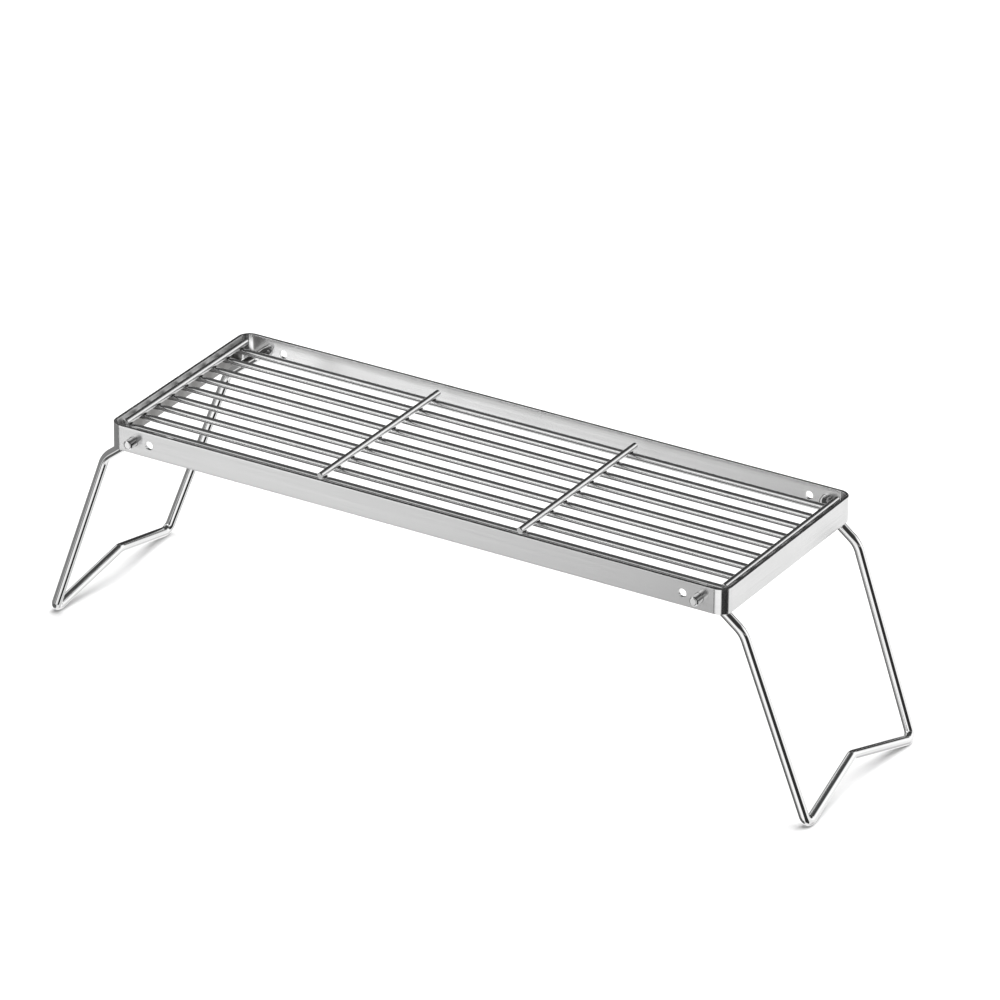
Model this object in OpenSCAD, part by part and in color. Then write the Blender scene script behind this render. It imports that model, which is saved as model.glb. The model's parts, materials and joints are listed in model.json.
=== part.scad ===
// Folding camp grill: a rectangular band of bent flat bar holds a welded grid of round
// rods, and two legs of bent wire hinge in holes through the band's long sides.
// Millimetres, +Z up, +X along the grill. The origin is on the ground, under the middle
// of the grill, with both legs open. The legs fold inward and lie flat under the grid.

/* [Band] */
// Outside length of the band
frame_l = 420; // [380:1:520]
// Outside width of the band
frame_w = 150; // [130:1:220]
// Height of the flat bar
band_h = 16; // [14:0.5:22]
// Thickness of the flat bar
band_t = 2; // [1.5:0.1:2.4]
// Outside radius of the band's corners
corner_r = 8; // [6:0.5:10]
// Width of the butt weld that closes the bent strip
seam_w = 2; // [1:0.5:3]

/* [Grid] */
// Diameter of every grid rod
rod_d = 4; // [3:0.1:4.5]
// Number of long rods
rod_count = 9; // [5:1:9]
// Distance from a long side's inner face to the centre of the nearest long rod
side_rod_inset = 12.2; // [12:0.1:14]
// Distance of each middle cross rod from the grill's centre
cross_rod_x = 68; // [40:1:90]
// Distance from a short side's inner face to the centre of the end rod beside it
end_rod_inset = 4.2; // [3.2:0.1:5]
// How far the cross rods and end rods run past the outermost long rods
cross_rod_overrun = 3.5; // [2.5:0.1:4]
// How far the cross rods' and end rods' tops lie below the band's top edge
rod_recess = 0.1; // [0.1:0.1:0.5]

/* [Welds] */
// Thickness of weld metal between two crossing rods
weld_gap = 0.1; // [0.1:0.05:0.2]
// Diameter of the weld nugget between two crossing rods
nugget_d = 3; // [2.6:0.1:3]
// Height of the weld nugget
nugget_h = 1; // [0.8:0.1:1.2]
// Size of the weld bead round a rod's end
bead = 0.9; // [0.6:0.1:0.9]

/* [Legs] */
// Diameter of the leg wire and of its pivot pins
wire_d = 6; // [5.5:0.1:6]
// Distance from the band's end to the pivot pins
pivot_inset = 17.5; // [17:0.5:20]
// Distance from the pivot pins to the free holes
free_hole_step = 11; // [10:0.5:16]
// Diameter of the free holes
free_hole_d = 5.3; // [4.2:0.1:6]
// How far a pivot pin stands out of the band
pin_proud = 6.5; // [3:0.5:8]
// Radial clearance of a pivot pin in its hole
pin_fit = 0.05; // [0.02:0.01:0.09]
// Gap between an open leg and the band's bottom edge, which is its stop
stop_gap = 0.25; // [0.2:0.05:0.4]
// Length of the leg wire from the pivot pin to the knee
upper_l = 32; // [30:1:40]
// Length of the leg wire from the knee to the foot, seen from the front
lower_l = 122; // [90:1:126]
// Outward slope of an open leg below the knee, from the vertical
splay = 20; // [10:1:25]
// Distance from a long side's inner face to the wire's centre, down to the knee
knee_inset = 6; // [5.9:0.1:6.4]
// Distance from a long side's inner face to the wire's centre, at the foot
foot_inset = 10.5; // [8:0.5:13]
// How far the crosspiece between the feet rises to its middle, along the leg
arch_rise = 17; // [10:1:24]
// Radius of the bend between pin and leg, to the wire's centre
elbow_r = 5.5; // [5:0.1:5.7]
// Radius of the knee's bend, to the wire's centre
knee_r = 16; // [8:1:20]
// Radius of the bends at the feet, to the wire's centre
foot_r = 5; // [4:0.5:8]
// Radius of the bend in the middle of the crosspiece, to the wire's centre
arch_r = 6; // [4:0.5:12]

/* [Hidden] */
$fn = 48;
steel = [0.80, 0.81, 0.82];
rod_steel = [0.70, 0.71, 0.73];
weld_steel = [0.55, 0.55, 0.57];
// Amount by which a cutter runs past the face that it cuts
cut = 1;
pin_chamfer = 0.6;
// The wire is a hair thicker in its bends, and its straight parts run on into them
bend_swell = 0.02;
bend_lap = 0.3;

inner_l = frame_l - 2 * band_t;
inner_w = frame_w - 2 * band_t;
pivot_x = frame_l / 2 - pivot_inset;
free_hole_x = pivot_x - free_hole_step;
pivot_hole_d = wire_d + 2 * pin_fit;

// Heights below the band's top edge
pivot_drop = band_h / 2;
cross_rod_drop = rod_recess + rod_d / 2;
long_rod_drop = cross_rod_drop + rod_d + weld_gap;

outer_rod_y = inner_w / 2 - side_rod_inset;
rod_pitch = 2 * outer_rod_y / (rod_count - 1);
end_rod_x = inner_l / 2 - end_rod_inset;
cross_rod_l = 2 * (outer_rod_y + rod_d / 2 + cross_rod_overrun);

// The upper part of an open leg slopes down just under the short side's inner bottom edge
stop_edge = [inner_l / 2 - pivot_x, pivot_drop - band_h];
stop_angle = atan2(stop_edge.y, stop_edge.x)
    - asin((wire_d / 2 + stop_gap) / norm(stop_edge));

// Corners of the right leg's wire, from the pivot pin's end to the middle of the
// crosspiece, measured from the band's top edge
pin_end = [pivot_x, frame_w / 2 + pin_proud, -pivot_drop];
elbow = [pivot_x, inner_w / 2 - knee_inset, -pivot_drop];
knee = elbow + upper_l * [cos(stop_angle), 0, sin(stop_angle)];
foot = [knee.x + lower_l * sin(splay), inner_w / 2 - foot_inset, knee.z - lower_l * cos(splay)];
arch = [foot.x - arch_rise * sin(splay), 0, foot.z + arch_rise * cos(splay)];

function unit(v) = v / norm(v);
function across(p) = [p.x, -p.y, p.z];
function turn(from, to) = acos(from * to);
function setback(r, from, to) = r * tan(turn(from, to) / 2);

// Lowest point of a wire's bend at corner b, on the way from corner a to corner c
function bend_bottom(a, b, c, r, d) =
    let (from = unit(b - a), to = unit(c - b), axis = unit(cross(from, to)),
         centre = b - from * setback(r, from, to) - r * cross(from, axis))
    centre.z - r * norm([axis.x, axis.y]) - d / 2;

// Height of the band's top edge above the ground
top_z = -bend_bottom(knee, foot, arch, foot_r, wire_d + 2 * bend_swell);

SIDES = [["left", -1], ["right", 1]];

function rod_y(i) = rod_pitch * (i - (rod_count + 1) / 2);

// Moves its children down from the band's top edge
module below_top(drop) {
    translate([0, 0, top_z - drop]) children();
}

module rod_along_x(l, d) {
    rotate([0, 90, 0]) cylinder(d = d, h = l, center = true);
}

module rod_along_y(l, d) {
    rotate([90, 0, 0]) cylinder(d = d, h = l, center = true);
}

module rounded_plate(l, w, h, r) {
    linear_extrude(h) {
        square([l - 2 * r, w], center = true);
        square([l, w - 2 * r], center = true);
        for (x = [-1, 1], y = [-1, 1])
            translate([x * (l / 2 - r), y * (w / 2 - r)]) circle(r = r);
    }
}

// The block of the band's rear side where the strip's two ends meet
module seam_block() {
    below_top(band_h)
        translate([-seam_w / 2, inner_w / 2, 0]) cube([seam_w, band_t, band_h]);
}

// One strip of flat bar, bent into a rectangle
module band() {
    color(steel)
    difference() {
        below_top(band_h) rounded_plate(frame_l, frame_w, band_h, corner_r);
        below_top(band_h + cut)
            rounded_plate(inner_l, inner_w, band_h + 2 * cut, corner_r - band_t);
        for (side = [-1, 1], hole = [[pivot_x, pivot_hole_d], [free_hole_x, free_hole_d]])
            below_top(pivot_drop)
                translate([side * hole[0], 0, 0]) rod_along_y(frame_w + 2 * cut, hole[1]);
        seam_block();
    }
}

module band_seam_weld() {
    color(weld_steel) seam_block();
}

// One of the long rods, between the short sides
module grate_rod(i) {
    color(rod_steel)
    below_top(long_rod_drop) translate([0, rod_y(i), 0]) rod_along_x(inner_l, rod_d);
}

// A rod across the top of all the long rods, clear of the long sides
module crossing_rod(x) {
    color(rod_steel)
    below_top(cross_rod_drop) translate([x, 0, 0]) rod_along_y(cross_rod_l, rod_d);
}

// Weld metal squeezed out between a long rod and the rod that crosses on top of it
module weld_nugget() {
    half_step = (rod_d + weld_gap) / 2;
    difference() {
        cylinder(d = nugget_d, h = nugget_h, center = true);
        translate([0, 0, -half_step]) rod_along_x(2 * nugget_d, rod_d);
        translate([0, 0, half_step]) rod_along_y(2 * nugget_d, rod_d);
    }
}

// A nugget on every long rod, under one crossing rod
module nugget_row(x) {
    color(weld_steel)
    for (i = [1:rod_count])
        below_top(long_rod_drop - (rod_d + weld_gap) / 2)
            translate([x, rod_y(i), 0]) weld_nugget();
}

// A weld bead round a rod that stands on a wall in the XY plane
module weld_bead() {
    rotate_extrude()
        polygon([[rod_d / 2, 0], [rod_d / 2 + bead, 0], [rod_d / 2, bead]]);
}

// Beads that join the ends of the long rods to a short side
module rod_end_welds(side) {
    color(weld_steel)
    for (i = [1:rod_count])
        below_top(long_rod_drop)
            translate([side * inner_l / 2, rod_y(i), 0])
                rotate([0, -side * 90, 0]) weld_bead();
}

module wire_straight(a, b, d) {
    v = b - a;
    translate(a) rotate([0, acos(v.z / norm(v)), atan2(v.y, v.x)]) cylinder(d = d, h = norm(v));
}

module wire_bend(corner, from, to, r, d) {
    axis = unit(cross(from, to));
    outward = cross(from, axis);
    centre = corner - from * setback(r, from, to) - r * outward;
    multmatrix([
        [outward.x, from.x, axis.x, centre.x],
        [outward.y, from.y, axis.y, centre.y],
        [outward.z, from.z, axis.z, centre.z],
        [0, 0, 0, 1]
    ])
        rotate_extrude(angle = turn(from, to)) translate([r, 0]) circle(d = d);
}

// A round wire through the corners p, with a bend of radius r[i] at each inner corner
module bent_wire(p, r, d) {
    last = len(p) - 1;
    way = [for (i = [0:last - 1]) unit(p[i + 1] - p[i])];
    back = [for (i = [0:last])
        i == 0 || i == last ? 0 : setback(r[i - 1], way[i - 1], way[i]) - bend_lap];
    for (i = [0:last - 1])
        wire_straight(p[i] + way[i] * back[i], p[i + 1] - way[i] * back[i + 1], d);
    for (i = [1:last - 1]) wire_bend(p[i], way[i - 1], way[i], r[i - 1], d + 2 * bend_swell);
}

// Takes the sharp edge off a pivot pin's end, at the tip of a pin that points along +Y
module pin_tip_cutter() {
    rotate([-90, 0, 0]) translate([0, 0, -pin_chamfer])
    difference() {
        cylinder(d = wire_d + 2 * cut, h = pin_chamfer + cut);
        translate([0, 0, -cut])
            cylinder(r1 = wire_d / 2 + cut, r2 = wire_d / 2 - pin_chamfer - cut,
                     h = pin_chamfer + 2 * cut);
    }
}

// One leg: a single wire with both pivot pins, both feet and the arched crosspiece
module leg(side) {
    color(steel)
    below_top(0)
    mirror([side < 0 ? 1 : 0, 0, 0])
    difference() {
        bent_wire(
            [pin_end, elbow, knee, foot, arch, across(foot), across(knee), across(elbow), across(pin_end)],
            [elbow_r, knee_r, foot_r, arch_r, foot_r, knee_r, elbow_r],
            wire_d
        );
        translate(pin_end) pin_tip_cutter();
        mirror([0, 1, 0]) translate(pin_end) pin_tip_cutter();
    }
}

band();
band_seam_weld();
for (i = [1:rod_count])
    grate_rod(i);
for (s = SIDES) {
    crossing_rod(s[1] * cross_rod_x);
    crossing_rod(s[1] * end_rod_x);
    nugget_row(s[1] * cross_rod_x);
    nugget_row(s[1] * end_rod_x);
    rod_end_welds(s[1]);
    leg(s[1]);
}
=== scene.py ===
"""Looks of a folding camp grill: a band of flat bar, a welded grid of rods, two wire legs.

Metres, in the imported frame. Places come from the frame's boxes, joints and mounts. The values
below are those that a box can't give: bend radii, edge roundings, the finishes' colours and
scales, the camera and the room.
"""

import json
import math

import bmesh
import bpy
from mathutils import Matrix, Vector, noise


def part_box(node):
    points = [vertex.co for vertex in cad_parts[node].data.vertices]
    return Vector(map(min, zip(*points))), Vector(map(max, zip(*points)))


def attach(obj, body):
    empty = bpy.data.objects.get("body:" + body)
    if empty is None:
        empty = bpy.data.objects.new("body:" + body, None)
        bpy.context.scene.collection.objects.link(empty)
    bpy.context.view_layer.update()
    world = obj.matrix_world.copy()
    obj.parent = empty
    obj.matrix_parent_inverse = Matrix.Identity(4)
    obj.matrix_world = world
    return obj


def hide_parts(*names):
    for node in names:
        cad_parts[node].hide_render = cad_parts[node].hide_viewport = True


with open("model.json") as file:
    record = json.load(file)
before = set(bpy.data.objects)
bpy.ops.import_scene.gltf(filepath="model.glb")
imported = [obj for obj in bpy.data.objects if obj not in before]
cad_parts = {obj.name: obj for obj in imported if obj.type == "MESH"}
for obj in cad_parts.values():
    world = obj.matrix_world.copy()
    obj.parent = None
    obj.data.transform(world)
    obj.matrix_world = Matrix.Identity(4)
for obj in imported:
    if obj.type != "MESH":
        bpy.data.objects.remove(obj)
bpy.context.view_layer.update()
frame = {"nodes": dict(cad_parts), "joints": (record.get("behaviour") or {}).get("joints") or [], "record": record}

MM = 0.001

# Flat bar of the band
CORNER_R = 8 * MM            # outside radius of the band's corners
EDGE_R = 0.2 * MM            # rounding along the flat bar's edges
EDGE_FALL = 0.03 * MM        # how far the rolled faces fall away toward the edges
EDGE_REACH = 1.6 * MM        # how far from the rounding they start to
HOLE_LIP_R = 0.2 * MM        # rounding at both mouths of a hole
CUT_OVER = 0.2 * MM          # how far the hole cutter stands out of the bar

# Leg wire: the driving dimensions of the CAD wire
WIRE_R = 3 * MM
PIN_FIT = 0.05 * MM          # radial clearance of a pivot pin in its hole
STOP_GAP = 0.25 * MM         # gap between an open leg and the band's bottom edge
UPPER_L = 32 * MM            # from the pivot pin to the knee
LOWER_L = 122 * MM           # from the knee to the foot, seen from the front
SPLAY = math.radians(20)     # outward slope below the knee
KNEE_INSET = 6 * MM          # from a long side's inner face to the wire, down to the knee
FOOT_INSET = 10.5 * MM       # the same at the foot
ARCH_RISE = 17 * MM          # how far the crosspiece rises to its middle
ELBOW_R = 5.5 * MM
KNEE_R = 16 * MM
FOOT_R = 5 * MM
ARCH_R = 6 * MM
PIN_CHAMFER = 0.6 * MM
BEND_OVAL = 0.015            # how far a bend flattens the wire, as a share of its radius

# Rods and welds
ROD_CHAMFER = 0.35 * MM
NUGGET = Vector((1.5, 1.5, 0.55)) * MM    # half sizes of the weld flash at a crossing
BEAD = 0.6 * MM              # size of the weld bead round a rod's end
BEAD_BORE = 0.8              # a bead's inner radius, hidden in its rod, as a share of the rod's
BEAD_LOBES = 9               # ripples round a bead
BEAD_WAVE = 0.09             # their depth, as a share of its size
SEAM_LAP = 0.5 * MM          # how far the seam weld runs onto the bar on each side
SEAM_PROUD = 0.22 * MM       # how far it stands out of the band's outer face
SEAM_SINK = 0.02 * MM        # how far its edges lie below that face
SEAM_FLUSH = 0.01 * MM       # how far it stands out of the inner face
SEAM_RIPPLE = 1.1 * MM       # height of one ripple
SEAM_WAVE = 0.25             # a ripple's depth, as a share of the crown
SEAM_BOW = 0.35              # how far a ripple bows at its ends, in ripples
HEAT_REACH = 2.6 * MM        # how far from a weld its heat tint and painted shade on the rods have faded to a third

# Mesh fineness
WIRE_SEGMENTS = 56
ROD_SEGMENTS = 40
HOLE_SEGMENTS = 64
LIP_STEPS = 4
EDGE_STEPS = 5
FALL_STEPS = 4
CORNER_STEPS = 18
BEND_STEP = math.radians(4)
STRAIGHT_STEP = 8 * MM
WELD_STEP = 0.8 * MM         # ring spacing on a rod beside its welds
SEAM_COLUMNS = 16
RIPPLE_STEPS = 8
NUGGET_AROUND, NUGGET_UP = 24, 12
BEAD_AROUND, BEAD_PROFILE = 52, 8

# Angles above which an edge stays crisp
BAND_CREASE = math.radians(35)
SEAM_CREASE = math.radians(40)
WIRE_CREASE = math.radians(50)
WELD_CREASE = math.radians(70)

# Finishes: the darkest and lightest metal, the smoothest and roughest finish, and the lines
# per metre along each axis
BAND_METAL = (0.59, 0.59, 0.59), (0.67, 0.67, 0.67)
BAND_ROUGH = 0.19, 0.27
BAND_GRAIN = 14.0, 14.0, 1500.0
ROD_METAL = (0.54, 0.54, 0.54), (0.65, 0.65, 0.65)
ROD_ROUGH = 0.19, 0.27
ROD_GRAIN = 10.0, 2200.0, 2200.0
LEG_METAL = (0.60, 0.60, 0.60), (0.70, 0.70, 0.70)
LEG_ROUGH = 0.04, 0.09
LEG_GRAIN = 8.0, 1600.0, 1600.0
# Weld flash at the crossings: burnt dark, and darkened to near-black as painted shade where the rods cross
BURNT_METAL_AND_SHADE = (0.02, 0.02, 0.02), (0.10, 0.095, 0.09)
CLEANED_METAL = (0.36, 0.36, 0.36), (0.56, 0.55, 0.54)
WELD_ROUGH = 0.32, 0.55
WELD_GRAIN = 700.0, 700.0, 700.0
CLOUDS = 22.0, 22.0, 22.0    # broad shading on every finish
PATCHES = 160.0, 160.0, 160.0       # the painted shade's uneven outline
LINE_DEPTH = 0.003 * MM      # depth of the brush and drawing lines
LEG_LINE_DEPTH = 0.002 * MM
WELD_GRAIN_DEPTH = 0.05 * MM
BRUSHED = 0.88               # anisotropy of the brushed bar
NOISE_ROUGHNESS = 0.62
NOISE_SPAN = 0.36, 0.64      # the noise values that a finish is spread over

# Painted light and shade on the band's inner faces
PAINTED_LIGHT_GAIN = (1.34, 1.34, 1.34)     # painted light: how much lighter the long sides' inner faces are painted, standing in for reflected light
UNDER_ROD_SHADE = (0.27, 0.265, 0.26)         # painted shade on the short sides, below the rods
SHADE_TOP = -0.5 * MM, MM    # from the rods' middle height: full below, none above
SHADE_ASIDE = 3 * MM         # how far beside a rod it has thinned out
SHADE_BETWEEN = 0.82         # its strength there
SHADE_PATCH = 0.8 * MM       # how far its outline wanders
DULLER = 0.22                # how much rougher the short sides are inside
SHORT_FADE = 0.1 * MM, 0.05 * MM    # where a short side's finish fades in, before its face
LONG_FADE = 2 * MM, 0.0      # the same for a long side, round the corner's bend
FACE_END = 0.06 * MM         # how far behind a face its finish starts to fade out

# Heat tint on the rods, darkening to grey as painted shade at the crossings, from no heat to the weld: place on
# the ramp and colour
HEAT_TINTS_AND_SHADE = (
    (0.15, (1, 1, 1, 1)),
    (0.5, (0.97, 0.93, 0.86, 1)),
    (0.75, (0.78, 0.72, 0.69, 1)),
    (0.95, (0.55, 0.54, 0.56, 1)),
)
HEAT_ROUGHER = 0.15          # how much rougher the hottest metal is

# Camera
CAMERA_AZIMUTH = math.radians(30.93)
CAMERA_ELEVATION = math.radians(26.34)
CAMERA_ROLL = math.radians(0.38)
CAMERA_LENS = 306.9          # millimetres
CAMERA_SENSOR = 36           # millimetres
CAMERA_CLIP = 200            # metres
CAMERA_DISTANCE = 4.996
AIM_RIGHT = 12.8 * MM        # where the camera aims, from the middle of the band's top
AIM_DOWN = 24.9 * MM

# Room
FLOOR_HALF = 40.0            # half the floor's side
FLOOR_SHADE = 0.9
ROOM_LEVEL = 1.3             # brightness between the panels
LAMP_STRENGTH = 4.0
LAMP_SPREAD = math.radians(70)      # the bigger, the softer the shadow
LAMP_TILT = math.radians(-12), math.radians(10)

# Panels of the room that the steel reflects, in degrees: azimuth from the front toward the
# right, elevation, half width, half height, softness. Then brightness.
PANELS = (
    (0, 90, 220, 48, 11, 0.08),        # dark ceiling
    (48, 40, 54, 18, 6, 0.05),         # black, high in front on the right
    (-163, 15, 32, 29, 5, 0.05),       # black, behind on the left
    (-84, -10, 48, 33, 3, 0.33),       # grey, on the left
    (-50, -56, 62, 22, 4, 0.16),       # dark, low in front
    (150, -50, 20, 18, 6, 0.80),       # grey, low behind on the right
    (-31, 1, 6, 17, 4, 2.90),          # bright, in front
    (10, -22, 22, 26, 5, 1.45),        # bright, in front on the right
    (-24, -24, 4.5, 22, 3, 0.08),      # dark strip, in front
    (70, -20, 33, 42, 3.5, 0.04),      # black, on the right
    (135, 16, 22, 20, 6, 1.55),        # bright, behind on the right
)


# ---------------------------------------------------------------- what the frame says

def middle(node):
    lo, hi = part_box(node)
    return (lo + hi) / 2


band_lo, band_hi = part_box("band")
seam_lo, seam_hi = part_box("band_seam_weld")
rod_lo, rod_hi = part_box("grate_rod_1")
leg_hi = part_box("leg_right")[1]
mounts = {m["name"]: m for m in frame["record"]["mounts"]}
joints = {j["name"]: j for j in frame["joints"]}

INNER_X = rod_hi.x
BAND_T = band_hi.x - INNER_X
INNER_Y = band_hi.y - BAND_T
ROD_R = (rod_hi.z - rod_lo.z) / 2
ROD_COUNT = sum(n.startswith("grate_rod_") for n in frame["nodes"])
PIVOT = Vector(joints["right_leg_fold"]["pos_m"])
FREE_HOLE_X = mounts["front_free_holes"]["dims"]["spacing_x_mm"] * MM / 2
HOLES = (                    # place along the band and radius
    (PIVOT.x, WIRE_R + PIN_FIT),
    (FREE_HOLE_X, mounts["front_free_holes"]["dims"]["hole_r_mm"] * MM),
)
SIDES = {"left": -1, "right": 1}


# ---------------------------------------------------------------- meshes

def new_piece(name, verts, faces, material, body, nodes, point_data=None):
    """Makes a smooth mesh piece, gives it its finish and hands it to its CAD body."""
    mesh = bpy.data.meshes.new(name)
    mesh.from_pydata([tuple(v) for v in verts], [], faces)
    for key, values in (point_data or {}).items():
        vectors = hasattr(values[0], "__len__")
        layer = mesh.attributes.new(key, "FLOAT_VECTOR" if vectors else "FLOAT", "POINT")
        flat = [c for v in values for c in v] if vectors else values
        layer.data.foreach_set("vector" if vectors else "value", flat)
    mesh.polygons.foreach_set("use_smooth", [True] * len(mesh.polygons))
    mesh.materials.append(material)
    piece = bpy.data.objects.new(name, mesh)
    bpy.context.scene.collection.objects.link(piece)
    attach(piece, body)
    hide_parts(*nodes)
    return piece


def outward_faces(mesh):
    """Turns every face of a closed mesh outwards."""
    work = bmesh.new()
    work.from_mesh(mesh)
    bmesh.ops.recalc_face_normals(work, faces=work.faces)
    work.to_mesh(mesh)
    work.free()


def crisp(piece, angle):
    """Keeps edges sharper than the angle crisp and flat faces flat."""
    piece.data.set_sharp_from_angle(angle=angle)
    normals = piece.modifiers.new("flat_faces", "WEIGHTED_NORMAL")
    normals.keep_sharp = True


def skin(rows, segments, closed_rows=False, offset=0):
    """Quads between rows of verts, each row a closed loop, with end caps if rows are open."""
    count = len(rows)
    faces = []
    for i in range(count if closed_rows else count - 1):
        for k in range(segments):
            a, b = rows[i], rows[(i + 1) % count]
            j = (k + 1) % segments
            faces.append((offset + a + k, offset + a + j, offset + b + j, offset + b + k))
    if not closed_rows:
        faces.append(tuple(offset + rows[0] + k for k in reversed(range(segments))))
        faces.append(tuple(offset + rows[-1] + k for k in range(segments)))
    return faces


def bent_path(corners, radii):
    """Samples along a line through the corners, with a round bend at each inner corner.

    A sample is (point, way, bend). bend is the bend's outward direction, longest in the
    middle of the bend, and zero on a straight part.
    """
    ways = [(b - a).normalized() for a, b in zip(corners, corners[1:])]
    backs = [r * math.tan(a.angle(b) / 2) for r, a, b in zip(radii, ways, ways[1:])]
    backs = [0.0, *backs, 0.0]
    samples = [(corners[0], ways[0], Vector())]
    for i, way in enumerate(ways):
        start = corners[i] + way * backs[i]
        end = corners[i + 1] - way * backs[i + 1]
        steps = max(1, round((end - start).length / STRAIGHT_STEP))
        samples += [(start.lerp(end, k / steps), way, Vector()) for k in range(1, steps + 1)]
        if i == len(radii):
            break
        turn = way.angle(ways[i + 1])
        axis = way.cross(ways[i + 1]).normalized()
        outward = way.cross(axis)
        centre = end - outward * radii[i]
        steps = math.ceil(turn / BEND_STEP)
        for k in range(1, steps + 1):
            rotation = Matrix.Rotation(turn * k / steps, 3, axis)
            out = rotation @ outward
            depth = math.sin(math.pi * k / steps)
            samples.append((centre + out * radii[i], rotation @ way, out * depth))
    return samples


def tip_outline(chamfer, radius):
    """A cut end with a chamfer whose corners are softened: (depth, radius) in radii."""
    c = chamfer / radius
    soft = 0.15 * c
    return [
        (0.0, 0.3), (0.0, 0.7 * (1 - c)), (0.0, 1 - c - 2 * soft), (0.3 * soft, 1 - c - soft / 2),
        (soft + soft / 2, 1 - c + soft / 2), (c - soft / 2, 1 - 1.5 * soft),
        (c + soft / 2, 1 - 0.3 * soft), (c + 2 * soft, 1.0),
    ]


def tube(samples, radius, segments, chamfer):
    """Verts, faces and straight-wire coordinates of a round wire along the samples.

    The straight-wire coordinates are where a point would be if the wire were unbent along X,
    so that a finish can follow the wire round its bends.
    """
    tip = tip_outline(chamfer, radius)
    reach = tip[-1][0] * radius
    side = samples[0][1].orthogonal().normalized()
    rings, at = [], 0.0
    point_before, way_before = samples[0][:2]
    for point, way, bend in samples:
        at += (point - point_before).length
        side = way_before.rotation_difference(way) @ side
        rings.append((point, way, side, bend, at, 1.0))
        point_before, way_before = point, way
    total = at

    def end_rings(ring, inward):
        point, way, side, _, at, _ = ring
        return [
            (point + way * inward * d * radius, way, side, Vector(), at + inward * d * radius, r)
            for d, r in tip
        ]

    body = [r for r in rings if reach < r[4] < total - reach]
    rings = end_rings(rings[0], 1) + body + end_rings(rings[-1], -1)[::-1]
    verts, straight = [], []
    for point, way, side, bend, at, share in rings:
        up = way.cross(side)
        for k in range(segments):
            angle = 2 * math.pi * k / segments
            across = side * math.cos(angle) + up * math.sin(angle)
            r = radius * share * (1 - BEND_OVAL * abs(across.dot(bend)))
            verts.append(point + across * r)
            straight.append((at, r * math.cos(angle), r * math.sin(angle)))
    rows = [i * segments for i in range(len(rings))]
    return verts, skin(rows, segments), straight


def rod_stations(half, welds):
    """Places along a rod from -half to half, close together near its welds."""
    near = HEAT_REACH * 2
    places = {-half, half}
    for w in welds:
        steps = round(near / WELD_STEP)
        places.update(w + k * WELD_STEP for k in range(-steps, steps + 1))
    steps = round(2 * half / STRAIGHT_STEP)
    far = [-half + 2 * half * k / steps for k in range(1, steps)]
    places.update(p for p in far if all(abs(p - w) > near + WELD_STEP for w in welds))
    return sorted(p for p in places if -half <= p <= half)


def weld_nearness_at(point, welds):
    """How near a point is to a weld, for heat tint and painted shade: 1 at a weld, fading to 0 away from it."""
    nearest = min((point - w).length for w in welds)
    return math.exp(-((nearest / HEAT_REACH) ** 2))


# ---------------------------------------------------------------- pieces

def lumpy(point, seed, amount, scale):
    """A factor near 1 that varies smoothly over space, for hand-made weld metal."""
    return 1 + amount * noise.noise(point * scale + Vector((seed, 2 * seed, -seed)))


def band_section():
    """Outline of the flat bar: (distance out of its middle, height above its middle)."""
    half_t, half_h = BAND_T / 2, (band_hi.z - band_lo.z) / 2
    corner = []
    for k in range(FALL_STEPS):
        share = k / FALL_STEPS
        out = half_t - EDGE_FALL * share ** 2
        corner.append((out, half_h - EDGE_R - EDGE_REACH * (1 - share)))
    for k in range(EDGE_STEPS + 1):
        a = math.pi / 2 * k / EDGE_STEPS
        out = half_t - EDGE_FALL - EDGE_R * (1 - math.cos(a))
        corner.append((out, half_h - EDGE_R * (1 - math.sin(a))))
    across = [(-out, up) for out, up in reversed(corner)]
    return corner + across + [(-out, -up) for out, up in corner + across]


def band_way():
    """Points along the strip's middle and the way out of it, from the seam round to it."""
    mid_y = (band_hi.y + INNER_Y) / 2
    out = Vector((0, 1, 0))
    way = [(Vector((seam_hi.x, mid_y, 0)), out)]
    for corner, (sx, sy) in enumerate(((1, 1), (1, -1), (-1, -1), (-1, 1))):
        centre = Vector((sx * (band_hi.x - CORNER_R), sy * (band_hi.y - CORNER_R), 0))
        for k in range(CORNER_STEPS + 1):
            a = math.pi / 2 * (1 - corner - k / CORNER_STEPS)
            turned = Vector((math.cos(a), math.sin(a), 0))
            way.append((centre + turned * (CORNER_R - BAND_T / 2), turned))
    way.append((Vector((seam_lo.x, mid_y, 0)), out))
    return way


def hole_outline(radius):
    """Outline of a hole with rounded mouths, from outside to inside: (y, radius)."""
    outer, inner = [], []
    for k in range(LIP_STEPS + 1):
        a = math.pi / 2 * k / LIP_STEPS
        depth, widening = HOLE_LIP_R * (1 - math.cos(a)), HOLE_LIP_R * (1 - math.sin(a))
        outer.append((band_hi.y - depth, radius + widening))
        inner.append((INNER_Y + depth, radius + widening))
    widest = radius + HOLE_LIP_R + CUT_OVER
    ends = (band_hi.y + CUT_OVER, widest), (INNER_Y - CUT_OVER, widest)
    return [ends[0], *outer, *reversed(inner), ends[1]]


def hole_cutter():
    """Spools that cut every hole in the long sides."""
    verts, faces = [], []
    for sx in SIDES.values():
        for sy in (-1, 1):
            for x, radius in HOLES:
                rows = []
                for y, r in hole_outline(radius):
                    rows.append(len(verts))
                    for k in range(HOLE_SEGMENTS):
                        a = 2 * math.pi * k / HOLE_SEGMENTS
                        verts.append((sx * x + r * math.cos(a), sy * y, PIVOT.z + r * math.sin(a)))
                faces += skin(rows, HOLE_SEGMENTS)
    mesh = bpy.data.meshes.new("hole_cutter")
    mesh.from_pydata(verts, [], faces)
    outward_faces(mesh)
    cutter = bpy.data.objects.new("hole_cutter", mesh)
    bpy.context.scene.collection.objects.link(cutter)
    return cutter


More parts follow.
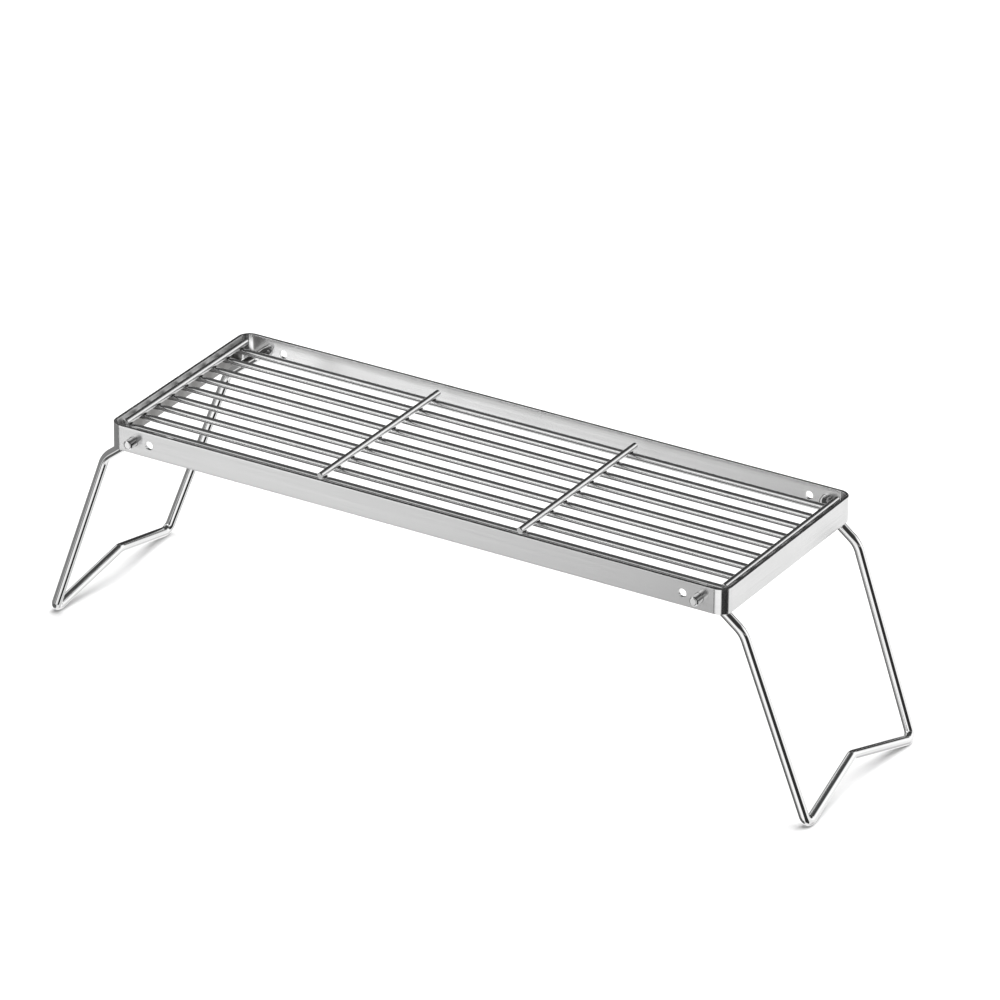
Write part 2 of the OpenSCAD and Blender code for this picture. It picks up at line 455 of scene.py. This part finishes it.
def make_band(material):
    section, way = band_section(), band_way()
    height = (band_lo.z + band_hi.z) / 2
    verts = [
        point + out * d + Vector((0, 0, height + h)) for point, out in way for d, h in section
    ]
    faces = skin([i * len(section) for i in range(len(way))], len(section))
    band = new_piece("band_strip", verts, faces, material, "grate", ["band"])
    outward_faces(band.data)
    cutter = hole_cutter()
    cut = band.modifiers.new("holes", "BOOLEAN")
    cut.operation, cut.solver, cut.object = "DIFFERENCE", "EXACT", cutter
    graph = bpy.context.evaluated_depsgraph_get()
    drilled = bpy.data.meshes.new_from_object(band.evaluated_get(graph), depsgraph=graph)
    band.modifiers.clear()
    band.data = drilled
    bpy.data.objects.remove(cutter)
    crisp(band, BAND_CREASE)


def make_seam(weld_material, band_material):
    """The butt weld that closes the strip: a rippled bead outside, dressed flush inside."""
    half_w, height = (seam_hi.x - seam_lo.x) / 2, seam_hi.z - seam_lo.z
    steps = round(height / (SEAM_RIPPLE / RIPPLE_STEPS))
    verts, rows = [], []
    for i in range(steps + 1):
        z = seam_lo.z + height * i / steps
        taper = min(1.0, 2 * math.sin(math.pi * i / steps))
        rows.append(len(verts))
        for k in range(SEAM_COLUMNS + 1):
            across = 2 * k / SEAM_COLUMNS - 1
            x = across * (half_w + SEAM_LAP)
            turn = z / SEAM_RIPPLE + SEAM_BOW * across * across
            wave = 1 - SEAM_WAVE + SEAM_WAVE * math.cos(2 * math.pi * turn)
            crown = SEAM_PROUD * taper * (1 - across * across) * wave
            crown *= lumpy(Vector((x, 0, z)), seed=3.1, amount=0.5, scale=900)
            verts.append((x, seam_hi.y + crown - SEAM_SINK, z))
        verts.append((half_w, INNER_Y - SEAM_FLUSH, z))
        verts.append((-half_w, INNER_Y - SEAM_FLUSH, z))
    faces = skin(rows, SEAM_COLUMNS + 3)
    seam = new_piece(
        "seam_weld", verts, faces, weld_material, "grate", ["band_seam_weld"],
    )
    outward_faces(seam.data)
    seam.data.materials.append(band_material)
    for face in seam.data.polygons:
        if face.normal.y < -0.9:
            face.material_index = 1
    crisp(seam, SEAM_CREASE)


def make_rod(name, node, axis, welds, material):
    """A straight rod with chamfered ends, tinted by heat and darkened as painted shade where it is welded."""
    lo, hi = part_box(node)
    centre, half = (lo + hi) / 2, (hi - lo).dot(axis) / 2
    places = rod_stations(half, [(w - centre).dot(axis) for w in welds])
    samples = [(centre + axis * p, axis, Vector()) for p in places]
    verts, faces, straight = tube(samples, ROD_R, ROD_SEGMENTS, ROD_CHAMFER)
    heat = [weld_nearness_at(v, welds) for v in verts]
    data = {"straight": straight, "heat": heat}
    rod = new_piece(name, verts, faces, material, "grate", [node], data)
    outward_faces(rod.data)
    crisp(rod, WIRE_CREASE)


def nugget(centre, seed):
    """A flattened, uneven blob of weld metal squeezed out between two crossing rods."""
    verts, rows = [], []
    for i in range(1, NUGGET_UP):
        tilt = math.pi * i / NUGGET_UP
        rows.append(len(verts))
        for k in range(NUGGET_AROUND):
            a = 2 * math.pi * k / NUGGET_AROUND
            wide = math.sin(tilt)
            spot = Vector((wide * math.cos(a), wide * math.sin(a), -math.cos(tilt)))
            size = lumpy(spot, seed, amount=0.35, scale=1.3)
            verts.append(centre + Vector([s * n * size for s, n in zip(spot, NUGGET)]))
    return verts, skin(rows, NUGGET_AROUND)


def bead(centre, inward, seed):
    """A weld bead round a rod's end, on the wall that inward points away from."""
    side = Vector((0, 0, 1))
    up = inward.cross(side)
    verts, rows = [], []
    for i in range(BEAD_AROUND):
        a = 2 * math.pi * i / BEAD_AROUND
        out = side * math.cos(a) + up * math.sin(a)
        ripple = 1 + BEAD_WAVE * math.sin(BEAD_LOBES * a + seed)
        size = BEAD * ripple * lumpy(out, seed, amount=0.3, scale=1.7)
        rows.append(len(verts))
        for k in range(BEAD_PROFILE):
            t = math.pi / 2 * k / (BEAD_PROFILE - 1)
            verts.append(centre + inward * size * math.sin(t) + out * (ROD_R + size * math.cos(t)))
        verts.append(centre + inward * size + out * ROD_R * BEAD_BORE)
        verts.append(centre + out * ROD_R * BEAD_BORE)
    return verts, skin(rows, BEAD_PROFILE + 2, closed_rows=True)


def joined(parts):
    """One list of verts and one of faces from several."""
    verts, faces = [], []
    for part_verts, part_faces in parts:
        faces += [tuple(i + len(verts) for i in f) for f in part_faces]
        verts += part_verts
    return verts, faces


def make_weld_group(name, node, parts, material):
    verts, faces = joined(parts)
    group = new_piece(name, verts, faces, material, "grate", [node])
    outward_faces(group.data)
    crisp(group, WELD_CREASE)


def leg_corners(side):
    """Corners of a leg's wire, from one pivot pin's end round to the other's."""
    edge_x, edge_z = INNER_X - PIVOT.x, band_lo.z - PIVOT.z
    reach = math.hypot(edge_x, edge_z)
    slope = math.atan2(edge_z, edge_x) - math.asin((WIRE_R + STOP_GAP) / reach)
    pin = Vector((PIVOT.x, leg_hi.y, PIVOT.z))
    elbow = Vector((PIVOT.x, INNER_Y - KNEE_INSET, PIVOT.z))
    knee = elbow + UPPER_L * Vector((math.cos(slope), 0, math.sin(slope)))
    foot = knee + LOWER_L * Vector((math.sin(SPLAY), 0, -math.cos(SPLAY)))
    foot.y = INNER_Y - FOOT_INSET
    arch = foot + ARCH_RISE * Vector((-math.sin(SPLAY), 0, math.cos(SPLAY)))
    arch.y = 0
    half = [pin, elbow, knee, foot]
    corners = half + [arch] + [Vector((c.x, -c.y, c.z)) for c in reversed(half)]
    return [Vector((side * c.x, c.y, c.z)) for c in corners]


def make_leg(name, side, material):
    radii = [ELBOW_R, KNEE_R, FOOT_R, ARCH_R, FOOT_R, KNEE_R, ELBOW_R]
    samples = bent_path(leg_corners(side), radii)
    verts, faces, straight = tube(samples, WIRE_R, WIRE_SEGMENTS, PIN_CHAMFER)
    body, node = f"{name}_leg", f"leg_{name}"
    data = {"straight": straight}
    leg = new_piece(f"wire_leg_{name}", verts, faces, material, body, [node], data)
    outward_faces(leg.data)
    crisp(leg, WIRE_CREASE)


# ---------------------------------------------------------------- finishes

def add(tree, kind, inputs=None, **settings):
    """A shader node with its settings and inputs; an input may be another node's output."""
    made = tree.nodes.new("ShaderNode" + kind)
    for key, value in settings.items():
        setattr(made, key, value)
    for key, value in (inputs or {}).items():
        if isinstance(value, bpy.types.NodeSocket):
            tree.links.new(value, made.inputs[key])
        else:
            made.inputs[key].default_value = value
    return made


def streaks(tree, place, per_metre, detail):
    """Noise from 0 to 1 with its own number of features per metre along each axis."""
    stretched = add(tree, "Mapping", {"Vector": place, "Scale": per_metre})
    inputs = {
        "Vector": stretched.outputs[0], "Scale": 1.0,
        "Detail": detail, "Roughness": NOISE_ROUGHNESS,
    }
    return add(tree, "TexNoise", inputs).outputs[0]


def between(tree, value, low, high, start, end):
    """Low where the value is start, high where it is end, and in between by the value."""
    inputs = {"Value": value, "From Min": start, "From Max": end, "To Min": low, "To Max": high}
    return add(tree, "MapRange", inputs).outputs[0]


def tinted(tree, amount, low, high):
    """A colour from low to high by amount."""
    mixed = add(tree, "Mix", {0: amount}, data_type="RGBA")
    mixed.inputs[6].default_value = (*low, 1)
    mixed.inputs[7].default_value = (*high, 1)
    return mixed.outputs[2]


def maths(tree, operation, a, b=0.0):
    return add(tree, "Math", {0: a, 1: b}, operation=operation).outputs[0]


def product(tree, *values):
    """All the values multiplied together."""
    result = values[0]
    for value in values[1:]:
        result = maths(tree, "MULTIPLY", result, value)
    return result


def blended(tree, first, second, share):
    """Two values added up, the first in this share."""
    parts = [product(tree, value, part) for value, part in ((first, share), (second, 1 - share))]
    return maths(tree, "ADD", *parts)


def steel(name, place, grain, metal, rough, line_depth, anisotropic=0.0):
    """Drawn, brushed or welded steel.

    place gives the coordinates in metres that the grain follows, grain its lines per metre
    along each axis, metal its darkest and lightest colours, rough its smoothest and roughest
    finish, and line_depth the lines' depth. Returns the material, its tree and its shader
    node, with the colour and the roughness that feed it.
    """
    material = bpy.data.materials.new(name)
    material.use_nodes = True
    tree = material.node_tree
    shader = tree.nodes["Principled BSDF"]
    shader.inputs["Metallic"].default_value = 1.0
    shader.inputs["Anisotropic"].default_value = anisotropic
    spot = place(tree)
    lines = streaks(tree, spot, grain, 8.0)
    broad = streaks(tree, spot, [g / 6 for g in grain], 3.0)
    clouds = streaks(tree, spot, CLOUDS, 4.0)
    shade = blended(tree, lines, clouds, 0.45)
    colour = tinted(tree, between(tree, shade, 0.0, 1.0, *NOISE_SPAN), *metal)
    worn = blended(tree, broad, clouds, 0.5)
    roughness = between(tree, worn, *rough, *NOISE_SPAN)
    bump = add(tree, "Bump", {"Height": lines, "Strength": 1.0, "Distance": line_depth})
    tree.links.new(colour, shader.inputs["Base Color"])
    tree.links.new(roughness, shader.inputs["Roughness"])
    tree.links.new(bump.outputs[0], shader.inputs["Normal"])
    return material, tree, shader, colour, roughness


def object_place(tree):
    return add(tree, "TexCoord").outputs["Object"]


def wire_place(tree):
    return add(tree, "Attribute", attribute_name="straight").outputs["Vector"]


def face_at(tree, distance, face, fade_from, fade_to):
    """1 on a wall's inner face, which stands at this distance from the grill's middle.

    It fades in from fade_from to fade_to in front of the face, and out again just behind it.
    """
    front = between(tree, distance, 0.0, 1.0, face - fade_from, face - fade_to)
    behind = between(tree, distance, 1.0, 0.0, face + FACE_END, face + 2 * FACE_END)
    return product(tree, front, behind)


def painted_shade_mask(tree, place, spot, short_face):
    """Painted shade on the short sides' inner faces: below the rods, and most round their ends."""
    patches = streaks(tree, place, PATCHES, 5.0)
    patchy = between(tree, patches, -SHADE_PATCH, SHADE_PATCH, 0.3, 0.7)
    rod_z = middle("grate_rod_1").z
    pitch = abs(middle("grate_rod_1").y - middle("grate_rod_2").y)
    low = maths(tree, "ADD", spot.outputs["Z"], patchy)
    below = between(tree, low, 1.0, 0.0, *(rod_z + up for up in SHADE_TOP))
    aside = maths(tree, "PINGPONG", spot.outputs["Y"], pitch / 2)
    apart = maths(tree, "ADD", aside, patchy)
    beside = between(tree, apart, 1.0, SHADE_BETWEEN, ROD_R, ROD_R + SHADE_ASIDE)
    return product(tree, below, beside, short_face)


def band_finish():
    """Flat bar brushed along its length. Inside, its short sides are dull and carry painted shade below the rods,
    and its long sides are painted lighter as painted light.
    """
    material, tree, shader, colour, roughness = steel(
        "satin_flat_bar", object_place, BAND_GRAIN, BAND_METAL, BAND_ROUGH, LINE_DEPTH, BRUSHED,
    )
    tangent = add(tree, "Tangent", direction_type="RADIAL", axis="Z")
    tree.links.new(tangent.outputs[0], shader.inputs["Tangent"])
    shader.inputs["Anisotropic Rotation"].default_value = 0.25

    place = object_place(tree)
    spot = add(tree, "SeparateXYZ", {"Vector": place})
    along = maths(tree, "ABSOLUTE", spot.outputs["X"])
    across = maths(tree, "ABSOLUTE", spot.outputs["Y"])
    short_face = face_at(tree, along, INNER_X, *SHORT_FADE)
    off_short = between(tree, along, 1.0, 0.0, *(INNER_X - fade for fade in SHORT_FADE))
    long_face = product(tree, face_at(tree, across, INNER_Y, *LONG_FADE), off_short)

    # Painted light: the long sides' inner faces are made lighter.
    painted_light = add(tree, "Mix", {0: long_face, 6: colour}, data_type="RGBA", blend_type="MULTIPLY")
    painted_light.inputs[7].default_value = (*PAINTED_LIGHT_GAIN, 1)
    # Painted shade: the short sides' inner faces are darkened below the rods.
    painted_shade = painted_shade_mask(tree, place, spot, short_face)
    shaded = add(tree, "Mix", {0: painted_shade, 6: painted_light.outputs[2]}, data_type="RGBA")
    shaded.inputs[7].default_value = (*UNDER_ROD_SHADE, 1)
    tree.links.new(shaded.outputs[2], shader.inputs["Base Color"])
    duller = maths(tree, "ADD", roughness, product(tree, short_face, DULLER))
    tree.links.new(duller, shader.inputs["Roughness"])
    return material


def rod_finish():
    """Drawn rod with lines along it, faintly tinted by heat beside the welds and darkened there as painted shade.
    """
    material, tree, shader, colour, roughness = steel(
        "drawn_rod", wire_place, ROD_GRAIN, ROD_METAL, ROD_ROUGH, LINE_DEPTH,
    )
    heat = add(tree, "Attribute", attribute_name="heat").outputs["Fac"]
    tint_and_shade = add(tree, "ValToRGB", {"Fac": heat})
    ramp = tint_and_shade.color_ramp
    first, *inner_tints, last = HEAT_TINTS_AND_SHADE
    for element, (at, shade) in zip(ramp.elements, (first, last)):
        element.position, element.color = at, shade
    for at, shade in inner_tints:
        ramp.elements.new(at).color = shade
    # Painted shade: the tint darkens the rods to grey at the crossings.
    mixed = add(
        tree, "Mix", {0: 1.0, 6: colour, 7: tint_and_shade.outputs[0]},
        data_type="RGBA", blend_type="MULTIPLY",
    )
    tree.links.new(mixed.outputs[2], shader.inputs["Base Color"])
    rougher = between(tree, heat, 0.0, HEAT_ROUGHER, 0.3, 1.0)
    tree.links.new(maths(tree, "ADD", roughness, rougher), shader.inputs["Roughness"])
    return material


def leg_finish():
    """Bright drawn wire."""
    return steel("bright_wire", wire_place, LEG_GRAIN, LEG_METAL, LEG_ROUGH, LEG_LINE_DEPTH)[0]


def weld_finish(name, metal):
    """Weld metal: dull and grainy."""
    return steel(name, object_place, WELD_GRAIN, metal, WELD_ROUGH, WELD_GRAIN_DEPTH)[0]


# ---------------------------------------------------------------- the room

def floor_finish():
    material = bpy.data.materials.new("pale_floor")
    material.use_nodes = True
    shader = material.node_tree.nodes["Principled BSDF"]
    shader.inputs["Base Color"].default_value = (FLOOR_SHADE, FLOOR_SHADE, FLOOR_SHADE, 1)
    shader.inputs["Roughness"].default_value = 0.9
    shader.inputs["Specular IOR Level"].default_value = 0.1
    return material


def make_floor():
    corners = ((-1, -1), (1, -1), (1, 1), (-1, 1))
    verts = [(x * FLOOR_HALF, y * FLOOR_HALF, 0) for x, y in corners]
    mesh = bpy.data.meshes.new("floor")
    mesh.from_pydata(verts, [], [(0, 1, 2, 3)])
    mesh.materials.append(floor_finish())
    floor = bpy.data.objects.new("floor", mesh)
    bpy.context.scene.collection.objects.link(floor)
    floor.visible_glossy = False


def panel_mask(tree, flat, rise, azimuth, elevation, half_wide, half_high, soft):
    """1 inside a panel of the room and 0 outside, with soft edges. Angles in degrees."""
    facing = Vector((math.sin(math.radians(azimuth)), -math.cos(math.radians(azimuth)), 0))
    dot = add(tree, "VectorMath", {0: flat, 1: facing}, operation="DOT_PRODUCT").outputs["Value"]
    aside = maths(tree, "ARCCOSINE", dot)
    apart = maths(tree, "ABSOLUTE", maths(tree, "SUBTRACT", rise, math.radians(elevation)))
    masks = []
    for angle, half in ((aside, half_wide), (apart, half_high)):
        inputs = {
            "Value": angle,
            "From Min": math.radians(half + soft), "From Max": math.radians(half - soft),
        }
        masks.append(add(tree, "MapRange", inputs, interpolation_type="SMOOTHSTEP").outputs[0])
    return product(tree, *masks)


def make_room():
    """A bright studio with soft-edged dark and bright panels, for the steel's contrast."""
    world = bpy.data.worlds.new("room")
    bpy.context.scene.world = world
    world.use_nodes = True
    tree = world.node_tree
    looking = add(tree, "TexCoord").outputs["Generated"]
    level_part = add(tree, "VectorMath", {0: looking, 1: (1, 1, 0)}, operation="MULTIPLY")
    flat = add(tree, "VectorMath", {0: level_part.outputs[0]}, operation="NORMALIZE").outputs[0]
    up_part = add(tree, "SeparateXYZ", {"Vector": looking}).outputs["Z"]
    rise = maths(tree, "ARCSINE", up_part)
    level = ROOM_LEVEL
    for *panel, brightness in PANELS:
        mask = panel_mask(tree, flat, rise, *panel)
        level = add(tree, "Mix", {0: mask, 2: level, 3: brightness}, data_type="FLOAT").outputs[0]
    seen = add(tree, "LightPath").outputs["Is Camera Ray"]
    level = add(tree, "Mix", {0: seen, 2: level, 3: 1.0}, data_type="FLOAT").outputs[0]
    tree.links.new(level, tree.nodes["Background"].inputs["Strength"])
    tree.nodes["Background"].inputs["Color"].default_value = (1, 1, 1, 1)


def make_lamp():
    """One big soft lamp overhead, for the floor and a faint shadow."""
    lamp = bpy.data.lights.new("overhead", "SUN")
    lamp.energy = LAMP_STRENGTH
    lamp.angle = LAMP_SPREAD
    holder = bpy.data.objects.new("overhead", lamp)
    holder.rotation_euler = (*LAMP_TILT, 0)
    holder.visible_glossy = False
    bpy.context.scene.collection.objects.link(holder)


def make_camera():
    azimuth, elevation = CAMERA_AZIMUTH, CAMERA_ELEVATION
    back = Vector((
        math.sin(azimuth) * math.cos(elevation),
        -math.cos(azimuth) * math.cos(elevation),
        math.sin(elevation),
    ))
    level_right = Vector((0, 0, 1)).cross(back).normalized()
    roll = Matrix.Rotation(CAMERA_ROLL, 3, back)
    right = roll @ level_right
    up = back.cross(right)
    aim = Vector((0, 0, band_hi.z)) + right * AIM_RIGHT - up * AIM_DOWN
    data = bpy.data.cameras.new("camera")
    data.lens = CAMERA_LENS
    data.sensor_width = CAMERA_SENSOR
    data.clip_end = CAMERA_CLIP
    camera = bpy.data.objects.new("camera", data)
    axes = Matrix((right, up, back)).transposed().to_4x4()
    camera.matrix_world = Matrix.Translation(aim + back * CAMERA_DISTANCE) @ axes
    bpy.context.scene.collection.objects.link(camera)
    bpy.context.scene.camera = camera


# ---------------------------------------------------------------- build

def make_grid(rod_material, burnt_and_shade_material, weld_material):
    X, Y = Vector((1, 0, 0)), Vector((0, 1, 0))
    long_rods = [f"grate_rod_{i + 1}" for i in range(ROD_COUNT)]
    cross_rods = {
        **{f"cross_rod_{s}": f"middle_rod_{s}" for s in SIDES},
        **{f"end_rod_{s}": f"edge_rod_{s}" for s in SIDES},
    }
    contact_z = (middle(long_rods[0]).z + middle("cross_rod_left").z) / 2

    def crossing(cross_rod, long_rod):
        return Vector((middle(cross_rod).x, middle(long_rod).y, contact_z))

    for i, node in enumerate(long_rods):
        welds = [crossing(cross_rod, node) for cross_rod in cross_rods]
        make_rod(f"grid_rod_{i + 1}", node, X, welds, rod_material)
    for node, name in cross_rods.items():
        welds = [crossing(node, long_rod) for long_rod in long_rods]
        make_rod(name, node, Y, welds, rod_material)

    for number, (side, sign) in enumerate(SIDES.items()):
        for kind in ("cross_rod", "end_rod"):
            node = f"{kind}_{side}"
            parts = [
                nugget(crossing(node, long_rod), 10 * number + i + middle(node).x * 50)
                for i, long_rod in enumerate(long_rods)
            ]
            name = f"{kind}_flash_{side}"
            make_weld_group(name, f"{kind}_welds_{side}", parts, burnt_and_shade_material)
        parts = [
            bead(Vector((sign * INNER_X, middle(n).y, middle(n).z)), -sign * X, 1.9 * i + number)
            for i, n in enumerate(long_rods)
        ]
        make_weld_group(f"rod_end_beads_{side}", f"rod_end_welds_{side}", parts, weld_material)


make_camera()
band_steel, rod_steel, leg_steel = band_finish(), rod_finish(), leg_finish()
# The flash's near-black is partly painted shade at the crossings.
burnt_weld_and_shade = weld_finish("burnt_weld_and_painted_shade", BURNT_METAL_AND_SHADE)
cleaned_weld = weld_finish("cleaned_weld_metal", CLEANED_METAL)
make_band(band_steel)
make_seam(cleaned_weld, band_steel)
make_grid(rod_steel, burnt_weld_and_shade, cleaned_weld)
for name, side in SIDES.items():
    make_leg(name, side, leg_steel)
make_floor()
make_room()
make_lamp()
bpy.context.scene.view_settings.view_transform = "Standard"
